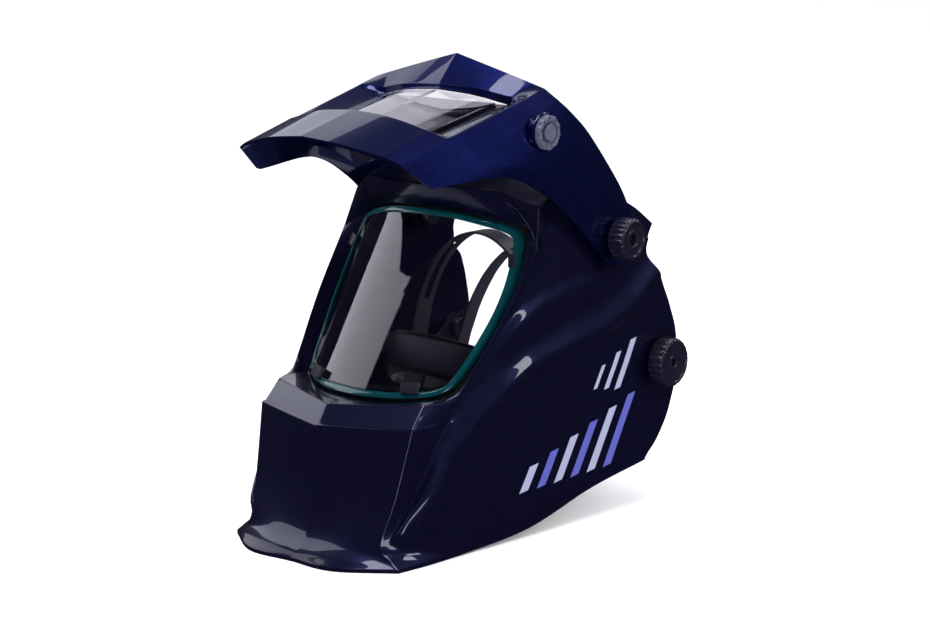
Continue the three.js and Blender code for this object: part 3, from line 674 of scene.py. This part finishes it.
def path_distance(path: Sequence[Sequence[float]], y: Array, z: Array) -> Array:
    """Signed distance from side-view points to a path of straight runs, as whole arrays."""
    best = np.full(y.shape, np.inf)
    sign = np.ones(y.shape)
    for (ay, az), (by, bz) in zip(path[:-1], path[1:]):
        dy, dz = by - ay, bz - az
        t = np.clip(((y - ay) * dy + (z - az) * dz) / (dy * dy + dz * dz), 0, 1)
        d = np.hypot(y - ay - t * dy, z - az - t * dz)
        nearer = d < best
        best = np.where(nearer, d, best)
        sign = np.where(nearer, np.where(dy * (z - az) - dz * (y - ay) >= 0, 1.0, -1.0), sign)
    return best * sign


@dataclass
class HelmetShell:
    """The navy base shell, with its printed bars and pivot bosses."""

    shop: Workshop
    row_steps: Sequence[int] = (5, 5, 8, 10, 3, 6, 14, 22, 22, 8, 6, 8, 8, 8)
    rib_steps: Sequence[int] = (7, 8, 4, 8, 24, 22, 20)
    lip_drop: float = 3.0
    seat_depth: float = 3.2
    crest_height: float = 3.4
    crest_width: float = 7.5
    valley_depth: float = 2.8
    valley_place: float = 19.0   # distance from the crest line
    valley_width: float = 11.0

    def outer(self, rows: Array, ribs: Array) -> Array:
        """Outer skin: the rib net, pushed out or in along X by the side's style lines.

        Above the seat line the skin steps in by seat_depth over a few millimetres (a logistic
        curve), along the crest line it swells as a bell curve, and beside that a hollow is cut.
        The weight fades all of it out towards the front ribs and the lip.
        """
        points = SHELL.grid(rows, ribs)
        y, z = points[..., 1], points[..., 2]
        seat = path_distance(SEAT_LINE, y, z)
        crest = path_distance(CREST_LINE, y, z)
        step = -self.seat_depth / (1 + np.exp(-np.clip(seat * 0.9, -40, 40)))
        ridge = self.crest_height * np.exp(-((crest / self.crest_width) ** 2))
        valley = np.exp(-(((crest - self.valley_place) / self.valley_width) ** 2))
        hollow = -self.valley_depth * valley * np.exp(-np.clip(seat, 0, 40))
        weight = np.clip((np.abs(ribs)[None, :] - 3) / 0.7, 0, 1) * np.clip((z - 22) / 30, 0, 1)
        points[..., 0] += np.sign(ribs)[None, :] * weight * (step + ridge + hollow)
        return filleted(points, rows, ribs, SHELL)

    def build(self) -> None:
        """Builds the wall with its window opening, then the bosses and the printed bars."""
        rows = spans(self.row_steps, SHELL.row_folds)
        ribs = both_sides(spans(self.rib_steps, SHELL.rib_folds))
        outer = self.outer(rows, ribs)
        inner = outer - grid_normals(outer) * WALL
        foot = rows <= 0.5
        inner[foot, :, 2] = outer[0, :, 2] - self.lip_drop
        inner[0, :, :2] = outer[0, :, :2]
        row_mid = (rows[1:] + rows[:-1]) / 2
        rib_mid = np.abs(ribs[1:] + ribs[:-1]) / 2
        gap = ((row_mid > 7) & (row_mid < 9))[:, None] & (rib_mid < 2)[None, :]
        points = np.concatenate([outer.reshape(-1, 3), inner.reshape(-1, 3)])
        shell = self.shop.mesh("shell_skin", points, wall_faces(~gap), "navy_flake_lacquer", bevel=0.6,
                               crease=60)
        self.shop.join(shell, "helmet", "base_shell")
        self.bosses()
        self.bars(shell)

    def bosses(self) -> None:
        """Round bosses that carry the flip bolts."""
        profile = [[88, 0, 0], [88, 14, 0], [88.6, 15, 0], [103.4, 15, 0], [104, 14.4, 0], [104, 0, 0]]
        for side, move in (("left", None), ("right", flipped)):
            boss = self.shop.turned(f"pivot_boss_{side}", profile, (0, PIVOT_Y, PIVOT_Z),
                                    "navy_flake_lacquer", steps=64, move=move)
            self.shop.join(boss, "helmet")

    def bars(self, shell: bpy.types.Object) -> None:
        """Plain slanted bars printed on both sides, laid onto the shell by projection along X."""
        for side, sign in (("left", 1.0), ("right", -1.0)):
            for k in range(6):
                height = 20 + 7 * k
                middle = (26 + 21 * k, 48 + 4.2 * k)
                ink = "periwinkle_ink" if k % 2 else "pale_ink"
                self.bar(shell, f"side_bar_{side}_{k + 1}", sign, middle, 9.5, height, ink)
            for k in range(3):
                middle = (104 + 16 * k, 116 + 3.0 * k)
                self.bar(shell, f"flash_bar_{side}_{k + 1}", sign, middle, 4.5 + 1.5 * k, 18 + 10 * k,
                         "pale_ink")

    def bar(self, shell: bpy.types.Object, name: str, sign: float, middle: tuple[float, float],
            width: float, height: float, ink: str) -> None:
        """Prints one leaning bar.

        A grid of width by height leans back by half its height; it is projected onto the shell.
        """
        across, up = np.meshgrid(np.linspace(-0.5, 0.5, 7), np.linspace(-0.5, 0.5, 25))
        y = middle[0] + across * width + up * height * 0.5
        z = middle[1] + up * height + across * width * 0.16
        points = np.stack([np.full(y.shape, 135.0 * sign), y, z], -1)
        rows, cols = y.shape
        ids = np.arange(rows * cols).reshape(rows, cols)
        quads = np.stack([ids[:-1, :-1], ids[:-1, 1:], ids[1:, 1:], ids[1:, :-1]], -1).reshape(-1, 4)
        faces = quads if sign > 0 else quads[:, ::-1]
        data = bpy.data.meshes.new(name)
        data.from_pydata(self.shop.metres(points), [], faces.tolist())
        piece = linked(name, data)
        wrap = piece.modifiers.new("lay_on_shell", "SHRINKWRAP")
        wrap.target = shell
        wrap.wrap_method = "PROJECT"
        wrap.use_project_x = True
        wrap.use_negative_direction = True
        wrap.use_positive_direction = True
        wrap.offset = 0.12 * MM
        film = piece.modifiers.new("ink_film", "SOLIDIFY")
        film.thickness = 0.1 * MM
        film.offset = 1
        baked = bpy.data.meshes.new_from_object(piece.evaluated_get(bpy.context.evaluated_depsgraph_get()))
        piece.modifiers.clear()
        piece.data = baked
        self.shop.dress(piece, ink, 0.0, 40, outward=False)
        self.shop.join(piece, "helmet")


# ------------------------------------------------------------------ window


@dataclass
class Window:
    """The clear grinding window, its tinted rim and the clips that hold it."""

    shop: Workshop
    outline: Sequence[Sequence[float]] = (
        (0, 115.5), (30, 115.8), (52, 117.2), (64, 119.5), (71.5, 124), (76, 133), (81, 152), (85, 175),
        (86, 195), (84.5, 215), (82.5, 227), (79, 234.5), (72, 239.5), (55, 244.5), (30, 249), (0, 250.5))
    steps: int = 6

    def depth(self, x: Array, z: Array) -> Array:
        """Depth of the pane: it leans back 0.62 mm for each 1 mm up and curves back as x squared."""
        return -66 + 0.62 * (z - 113) + 32 * (x / 80) ** 2

    def loop(self, inset: float) -> Array:
        """Outline across and up, smoothed, at an inset: each point moves along its inward normal."""
        half = np.array(self.outline, float)
        knots = np.concatenate([half, (half[1:-1] * [-1, 1])[::-1]])
        ring = np.concatenate([knots[-2:], knots, knots[:3]])
        at = np.arange(len(knots) * self.steps) / self.steps + 2
        points = RibNet.curve(ring, at, ())
        step = np.roll(points, -1, axis=0) - np.roll(points, 1, axis=0)
        step /= np.linalg.norm(step, axis=1, keepdims=True)
        return points + inset * np.stack([-step[:, 1], step[:, 0]], -1)

    def place(self, flat: Array, shift: float) -> Array:
        """Lifts across-and-up points onto the pane's curve, shifted in depth."""
        return np.stack([flat[..., 0], self.depth(flat[..., 0], flat[..., 1]) + shift, flat[..., 1]], -1)

    def build(self) -> None:
        """Builds the rim, the pane and the clips."""
        self.rim()
        self.pane()
        for name in ("lower_clip_left", "lower_clip_right", "upper_clip_left", "upper_clip_right"):
            self.shop.softened(name, "satin_nylon", 0.7)
        self.gasket()

    def rim(self) -> None:
        """Tinted rim: a rounded section, inset against depth, carried round the outline."""
        section = [(0.5, -1.7), (1.0, -2.3), (1.9, -2.5), (3.6, -2.5), (4.3, -2.2), (4.6, -1.6), (4.6, 4.2),
                   (4.2, 4.9), (1.2, 4.9), (0.5, 4.3)]
        rings = [self.place(self.loop(inset), shift) for inset, shift in section]
        points = np.stack(rings, 1)
        faces = tube_faces(points.shape[0], points.shape[1], True)
        rim = self.shop.mesh("window_rim", points, faces, "tinted_polycarbonate", crease=50)
        self.shop.join(rim, "helmet", "visor_rim")

    def gasket(self) -> None:
        """Flat rubber ring behind the rim, wide enough to close the corners of the opening."""
        section = [(-5.0, 5.6), (-5.0, 7.4), (6.2, 7.6), (6.5, 7.3), (6.5, 5.7), (6.2, 5.4)]
        points = np.stack([self.place(self.loop(inset), shift) for inset, shift in section], 1)
        faces = tube_faces(points.shape[0], points.shape[1], True)
        ring = self.shop.mesh("window_seal", points, faces, "nitrile_rubber", crease=50)
        self.shop.join(ring, "helmet", "window_gasket")

    def pane(self) -> None:
        """Clear curved pane, as rings shrunk towards the middle on a front and a back face."""
        loop = self.loop(4.9)
        middle = np.array([0.0, 182.0])
        shares = np.linspace(1, 0, 11)
        flat = middle + (loop[:, None] - middle) * shares[None, :, None]
        points = np.concatenate([self.place(flat[:, ::-1], -1.0), self.place(flat, 1.0)], 1)
        stations, around = points.shape[:2]
        faces = tube_faces(stations, around, True)
        pane = self.shop.mesh("window_pane", points, faces, "clear_polycarbonate", crease=40)
        self.shop.join(pane, "helmet", "clear_visor")


# ------------------------------------------------------------------ flip visor


@dataclass
class FlipVisor:
    """The opened flip visor with its lens, filter, shade dial and catch."""

    shop: Workshop
    row_steps: Sequence[int] = (12, 5, 18, 3, 10)
    rib_steps: Sequence[int] = (7, 7, 4, 3, 12, 12, 12, 8)

    def build(self) -> None:
        """Builds every piece that swings with the visor."""
        self.skin()
        self.lens()
        self.dial()
        self.shop.softened("catch_knob", "satin_nylon", 0.6)
        self.shop.softened("catch_bracket", "satin_nylon", 0.7)
        self.shop.softened("control_module", "satin_nylon", 0.8)
        self.shop.softened("cassette_frame", "satin_nylon", 0.5)
        self.shop.paint("filter_retainer", "nitrile_rubber")
        self.shop.softened("shade_filter", "filter_glass", 0.4)
        self.shop.paint("inner_cover_lens", "clear_polycarbonate")

    def skin(self) -> None:
        """Wall of the visor with its lens opening, worked out closed and then swung open."""
        rows = spans(self.row_steps, VISOR.row_folds)
        ribs = both_sides(spans(self.rib_steps, VISOR.rib_folds))
        outer = filleted(VISOR.grid(rows, ribs), rows, ribs, VISOR)
        inner = outer - grid_normals(outer) * WALL
        row_mid = (rows[1:] + rows[:-1]) / 2
        rib_mid = np.abs(ribs[1:] + ribs[:-1]) / 2
        gap = ((row_mid > 2) & (row_mid < 3))[:, None] & (rib_mid < 2)[None, :]
        points = opened(np.concatenate([outer.reshape(-1, 3), inner.reshape(-1, 3)]))
        # Painted light: the visor wall wears the lighter copy of the navy paint, whose blue stands in for
        # light on its upper faces.
        skin = self.shop.mesh("visor_skin", points, wall_faces(~gap), "navy_lacquer_painted_light", bevel=0.6,
                              crease=50)
        self.shop.join(skin, "flip_visor", "flip_visor_shell")

    def lens(self) -> None:
        """Clear cover lens, a little smaller than the opening all round."""
        rows = np.linspace(2.02, 2.98, 17)
        ribs = np.linspace(-1.975, 1.975, 49)
        outer = VISOR.grid(rows, ribs)
        inner = outer - grid_normals(outer) * 1.8
        solid = np.ones((len(rows) - 1, len(ribs) - 1), bool)
        points = opened(np.concatenate([outer.reshape(-1, 3), inner.reshape(-1, 3)]))
        lens = self.shop.mesh("lens_cover", points, wall_faces(solid), "clear_polycarbonate", bevel=0.3)
        self.shop.join(lens, "flip_visor", "cover_lens")

    def dial(self) -> None:
        """Shade dial with its dots, on a round seat, and its press button."""
        foot = (0, DIAL_Y, DIAL_Z)
        seat = [[96, 0, 0], [96, 14.4, 0], [101.2, 14.8, 0], [101.9, 14.4, 0], [101.9, 0, 0]]
        # Painted light: the seat takes the visor's lighter copy of the navy paint, standing in for the
        # light on the visor.
        piece = self.shop.turned("dial_seat", seat, foot, "navy_lacquer_painted_light", steps=72, move=opened)
        self.shop.join(piece, "flip_visor")
        ring = [[102.3, 0, 0], [102.3, 12.9, 0], [102.7, 13.5, 0.6], [104.2, 13.6, 1], [106.0, 13.3, 1],
                [106.8, 12.6, 0.7], [106.9, 11.8, 0], [106.9, 9.9, 0], [106.5, 9.2, 0], [105.3, 9.0, 0],
                [105.0, 8.6, 0], [105.0, 7.3, 0], [104.6, 6.9, 0], [103.4, 6.9, 0], [103.4, 0, 0]]
        dial = self.shop.turned("dial_ring", ring, foot, "grey_acetal", ribs=10, rib_depth=1.1, steps=160,
                                move=opened)
        self.shop.join(dial, "dial", "shade_dial")
        cap = [[105.1, 0, 0], [105.1, 6.4, 0], [107.2, 6.5, 0], [107.8, 6.0, 0], [107.6, 4.4, 0],
               [107.2, 2.2, 0], [107.1, 0, 0]]
        button = self.shop.turned("dial_cap", cap, foot, "grey_acetal", steps=64, move=opened)
        self.shop.join(button, "button", "dial_button")
        spot = [[106.7, 0, 0], [106.7, 0.75, 0], [107.0, 0.7, 0], [107.0, 0, 0]]
        for k in range(9):
            angle = math.radians(30 + 37.5 * k)
            at = (0, DIAL_Y + 10.9 * math.cos(angle), DIAL_Z + 10.9 * math.sin(angle))
            dot = self.shop.turned(f"dial_dot_{k + 1}", spot, at, "black_ink", steps=18, move=opened)
            self.shop.join(dot, "dial")


# ------------------------------------------------------------------ knobs


@dataclass
class SideKnobs:
    """Ribbed hand knobs, washers and bolts of both pivots."""

    shop: Workshop
    ribs: int = 22

    def profile(self, radius: float, depth: float, socket: float) -> list[list[float]]:
        """Profile of a knob: ribbed skirt, rounded shoulder, dished face, hub ring and socket."""
        r, d = radius, depth
        return [[0, 0, 0], [0, r - 1.4, 0.3], [0.7, r - 0.5, 0.8], [1.6, r, 1], [d - 3.2, r, 1],
                [d - 2.0, r - 0.5, 0.9], [d - 0.9, r - 1.5, 0.5], [d - 0.2, r - 2.6, 0.1], [d, r - 3.4, 0],
                [d - 0.1, r - 4.1, 0], [d - 0.8, r - 4.6, 0], [d - 1.3, r - 5.4, 0],
                [d - 1.4, socket + 3.6, 0], [d - 0.9, socket + 2.9, 0], [d - 0.8, socket + 1.2, 0],
                [d - 1.3, socket + 0.3, 0], [d - 1.8, socket, 0], [d - 5.8, socket, 0], [d - 6, 0, 0]]

    def build(self) -> None:
        """Builds both pairs of knobs and dresses their hardware."""
        pairs = (("flip_knob", 17, 15, 4.5, 112.6, PIVOT_Y, PIVOT_Z),
                 ("gear_knob", 20, 14, 3.2, 115, GEAR_Y, GEAR_Z))
        for side, move in (("left", None), ("right", flipped)):
            for name, radius, depth, socket, x, y, z in pairs:
                node = f"{name}_{side}"
                knob = self.shop.turned(f"{node}_grip", self.profile(radius, depth, socket), (x, y, z),
                                        "satin_nylon", ribs=self.ribs, rib_depth=1.1, steps=self.ribs * 10,
                                        move=move)
                self.shop.join(knob, self.shop.body_of(node), node)
            for name in ("flip_washer", "gear_washer"):
                self.shop.softened(f"{name}_{side}", "nitrile_rubber", 0.25)
            for name in ("flip_bolt", "gear_bolt"):
                self.shop.softened(f"{name}_{side}", "turned_steel", 0.3)


# ------------------------------------------------------------------ headgear


@dataclass
class Headgear:
    """Straps, pads and the ratchet cradle inside the shell."""

    shop: Workshop

    def loop(self, start: float, end: float, steps: int, inset: float) -> Array:
        """Headband line: an ellipse 78 by 100 mm less the inset, falling 0.5 mm for each 1 mm back."""
        a = np.radians(np.linspace(start, end, steps))
        y = 105 - (100 - inset) * np.cos(a)
        return np.stack([(78 - inset) * np.sin(a), y, 138 - (y - 5) * 0.5], -1)

    def arch(self, half: float, y: float, lean: float, foot: float, rise: float) -> Array:
        """Crown strap line: a half ellipse over the head, leaning back as it rises."""
        a = np.linspace(0, math.pi, 61)
        return np.stack([half * np.cos(a), y + lean * np.sin(a), foot + rise * np.sin(a)], -1)

    def strap(self, name: str, node: str, path: Array, up: Sequence[float], width: float, thickness: float,
              finish: str, stuffed: bool = False) -> bpy.types.Object:
        """Sweeps one strap and lets it stand for its CAD node."""
        ups = np.broadcast_to(np.array(up, float), path.shape)
        piece = self.shop.swept(name, path, ups, width, thickness, finish, stuffed)
        self.shop.join(piece, self.shop.body_of(node), node)
        return piece

    def build(self) -> None:
        """Builds the bands, pads, crown straps and the ratchet."""
        upright = (0, 0, 1)
        fore = (0, 1, 0)
        self.strap("head_band", "front_headband", self.loop(-92, 92, 121, 0), upright, 26, 2.2,
                   "strap_polypropylene")
        sweat = self.strap("sweat_pad", "sweatband", self.loop(-58, 58, 91, 5.2), upright, 34, 6,
                           "knit_over_foam", stuffed=True)
        self.crown_strap()
        self.strap("crown_strap_back", "crown_strap_rear", self.arch(66.6, 134, 20, 76, 128), fore, 16, 2,
                   "strap_polypropylene")
        for side, move in (("left", None), ("right", flipped)):
            rear = self.loop(89, 170, 71, 3.1)
            pad = self.loop(61, 72, 25, 3)
            if move:
                rear, pad = move(rear), move(pad)
            self.strap(f"rear_band_{side}_strap", f"rear_band_{side}", rear, upright, 18, 2,
                       "strap_polypropylene")
            temple = self.strap(f"temple_{side}_pad", f"temple_pad_{side}", pad, upright, 20, 3,
                                "knit_over_foam", stuffed=True)
            self.shop.softened(f"side_arm_{side}", "satin_nylon", 0.5)
        self.shop.softened("ratchet_housing", "satin_nylon", 1.2)
        self.shop.softened("nape_cradle", "satin_nylon", 1.0)
        self.cushion()
        self.ratchet()

    def crown_strap(self) -> None:
        """Front crown strap with one long slot on each side.

        The strap is a wall on a grid: the row follows the arch and the column crosses its width, and
        the cells of the slots are left out.
        """
        path = self.arch(72.5, 92, 0, 98, 124)
        run = np.gradient(path, axis=0)
        run /= np.linalg.norm(run, axis=1, keepdims=True)
        out = np.cross(run, np.broadcast_to(np.array([0.0, 1.0, 0.0]), run.shape))
        across = np.array([-10, -9.2, -6, -3.5, 0, 3.5, 6, 9.2, 10.0])
        middle = path[:, None] + np.array([0.0, 1.0, 0.0]) * across[None, :, None]
        shape = np.broadcast_to(out[:, None], middle.shape)
        points = np.concatenate([(middle + shape).reshape(-1, 3), (middle - shape).reshape(-1, 3)])
        row = (np.arange(60) + 0.5) / 60
        col = (across[1:] + across[:-1]) / 2
        slots = ((row > 0.17) & (row < 0.36)) | ((row > 0.64) & (row < 0.83))
        gap = slots[:, None] & (np.abs(col) < 3.5)[None, :]
        strap = self.shop.mesh("crown_strap_slotted", points, wall_faces(~gap), "strap_polypropylene",
                               bevel=0.4, crease=40)
        self.shop.join(strap, "headgear", "crown_strap_front")

    def cushion(self) -> None:
        """Stuffed nape cushion: a crowned slab whose sides pull in between the corners.

        Over width u and height v, both from -1 to 1, the half thickness is that of the slab times
        (1 - u^4)(1 - v^4) to the power 0.3, and the outline pulls in by 4 percent at mid side.
        """
        low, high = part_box("nape_cushion")
        origin = self.shop.origin()
        lo = np.array(low) / MM + origin
        hi = np.array(high) / MM + origin
        centre, half = (lo + hi) / 2, (hi - lo) / 2
        u, v = np.meshgrid(np.linspace(-1, 1, 41), np.linspace(-1, 1, 25))
        swell = (np.clip(1 - u ** 4, 0, 1) * np.clip(1 - v ** 4, 0, 1)) ** 0.3
        x = u * (1 - 0.04 * (1 - v ** 2))
        z = v * (1 - 0.04 * (1 - u ** 2))
        seam = 1 - 0.25 * np.exp(-((np.abs(u) - 0.45) / 0.03) ** 2)
        front = centre + np.stack([x, -swell * seam, z], -1) * half
        back = centre + np.stack([x, swell, z], -1) * half
        points = np.concatenate([front.reshape(-1, 3), back.reshape(-1, 3)])
        faces = wall_faces(np.ones((24, 40), bool))
        pad = self.shop.mesh("nape_pad", points, faces, "knit_over_foam", crease=80)
        self.shop.join(pad, "cradle", "nape_cushion")

    def ratchet(self) -> None:
        """Ratchet knob at the back: the side knob's shape with its axis turned to +Y."""
        knobs = SideKnobs(self.shop)
        knob = self.shop.turned("ratchet_grip", knobs.profile(19, 12, 3.5), (218.3, 0, 44), "satin_nylon",
                                ribs=20, rib_depth=1.1, steps=200, move=rearward)
        self.shop.join(knob, "ratchet", "ratchet_knob")
        self.shop.softened("ratchet_pinion", "turned_steel", 0.2)


# ------------------------------------------------------------------ studio


@dataclass
class Studio:
    """Pale floor, soft lights and the camera."""

    shop: Workshop
    azimuth: float = 40.0
    elevation: float = 10.8
    distance: float = 1.92
    target: Sequence[float] = (0.0, 68.36, 161.5)
    lens_mm: float = 92.9032
    card_tint: Sequence[float] = (0.91, 0.92, 1.0)

    def build(self) -> None:
        """Builds the floor, the lights, the world and the camera."""
        bpy.context.scene.view_settings.view_transform = "Standard"
        self.floor()
        self.world()
        for name, at, size, power in (("overhead", (0.25, -0.5, 2.5), (1.5, 1.5), 40),
                                      ("left_card", (-1.9, -0.85, 1.4), (1.9, 1.5), 16),
                                      ("back_left_card", (-1.7, 1.2, 1.35), (1.7, 1.3), 6),
                                      ("front_strip", (1.8, -1.25, 0.12), (0.5, 0.9), 7),
                                      ("right_strip", (2.3, 0.7, 1.5), (0.35, 1.6), 12),
                                      ("back_top", (0.3, 1.9, 1.9), (1.6, 0.5), 12)):
            self.softbox(name, at, size, power)
        self.camera()

    def floor(self) -> None:
        """Plain pale floor."""
        half = 6.0
        data = bpy.data.meshes.new("floor")
        corners = [(-half, -half, 0), (half, -half, 0), (half, half, 0), (-half, half, 0)]
        data.from_pydata(corners, [], [(0, 1, 2, 3)])
        floor = linked("floor", data)
        material = bpy.data.materials.new("matt_white_paper")
        material.use_nodes = True
        shader = material.node_tree.nodes["Principled BSDF"]
        shader.inputs["Base Color"].default_value = linear("#ffffff")
        shader.inputs["Roughness"].default_value = 0.9
        shader.inputs["Specular IOR Level"].default_value = 0.0
        data.materials.append(material)
        floor.visible_glossy = False

    def world(self) -> None:
        """White surroundings, with black flags all round where only gloss sees them."""
        world = bpy.data.worlds.new("studio")
        world.use_nodes = True
        tree = world.node_tree
        back = tree.nodes["Background"]
        ray = add_node(tree, "ShaderNodeLightPath")
        flagged = add_node(tree, "ShaderNodeMix", {6: (1.0, 1.0, 1.0, 1), 7: (0.014, 0.013, 0.026, 1)},
                           {0: ray.outputs["Is Glossy Ray"]}, data_type="RGBA")
        tree.links.new(flagged.outputs[2], back.inputs["Color"])
        back.inputs["Strength"].default_value = 1.0
        bpy.context.scene.world = world

    def softbox(self, name: str, at: Sequence[float], size: Sequence[float], power: float) -> None:
        """Adds one rectangular soft light that faces the helmet."""
        data = bpy.data.lights.new(name, "AREA")
        data.shape = "RECTANGLE"
        data.size, data.size_y = size
        data.energy = power
        data.color = self.card_tint
        lamp = linked(name, data)
        lamp.location = at
        aim(lamp, (0, 0, 0.17))

    def camera(self) -> None:
        """Places the camera: azimuth is from -Y towards +X, elevation is above the floor."""
        target = (np.array(self.target) - self.shop.origin()) * MM
        az, el = math.radians(self.azimuth), math.radians(self.elevation)
        away = np.array([math.sin(az) * math.cos(el), -math.cos(az) * math.cos(el), math.sin(el)])
        data = bpy.data.cameras.new("camera")
        data.sensor_width = SENSOR_MM
        data.lens = self.lens_mm
        camera = linked("camera", data)
        camera.location = target + away * self.distance
        aim(camera, target)
        bpy.context.scene.camera = camera


def aim(thing: bpy.types.Object, target: Sequence[float]) -> None:
    """Turns a lamp or camera so that its -Z axis points at the target."""
    direction = Vector(target) - Vector(thing.location)
    thing.rotation_euler = direction.to_track_quat("-Z", "Y").to_euler()


def main() -> None:
    """Builds the helmet's looks round the frame."""
    logging.basicConfig(level=logging.INFO, format="%(message)s")
    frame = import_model()
    shop = Workshop(frame)
    HelmetShell(shop).build()
    Window(shop).build()
    FlipVisor(shop).build()
    SideKnobs(shop).build()
    Headgear(shop).build()
    Studio(shop).build()
    LOG.info("%d pieces made", shop.made)


if __name__ == "__main__":
    main()
